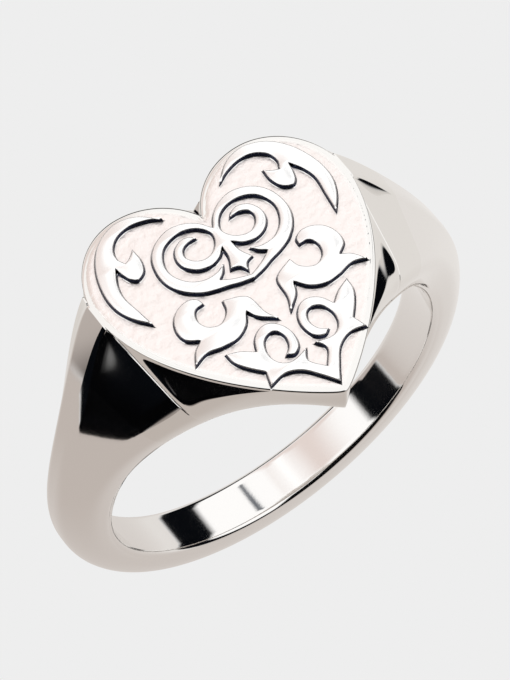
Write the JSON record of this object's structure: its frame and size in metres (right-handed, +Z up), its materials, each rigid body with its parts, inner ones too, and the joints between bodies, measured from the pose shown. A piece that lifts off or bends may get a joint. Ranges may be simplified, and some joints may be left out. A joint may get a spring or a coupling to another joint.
{
  "type": "heart signet ring",
  "caption": "Polished silver signet ring with a flat heart-shaped face, tapering shoulders and raised scrollwork on a matte ground.",
  "frame": {"origin": "middle of the finger hole, on its axis", "axes": "+Y along the finger hole's axis towards the heart's two lobes, -Y towards the heart's tip, +Z up through the middle of the heart face, +X towards the right shoulder"},
  "size_m": [0.0212, 0.012, 0.0215],
  "materials": {
    "polished_silver": "mirror polished silver",
    "head_silver": "polished sides, fine matte stippled face ground",
    "scroll_silver": "bright polished tops"
  },
  "bodies": {
    "root": {"shank": "polished_silver", "head": "head_silver", "flourish_right": "scroll_silver", "flourish_left": "scroll_silver", "heart_scroll": "scroll_silver", "leaf_scroll_right": "scroll_silver", "leaf_scroll_left": "scroll_silver", "base_scroll": "scroll_silver"}
  },
  "joints": []
}
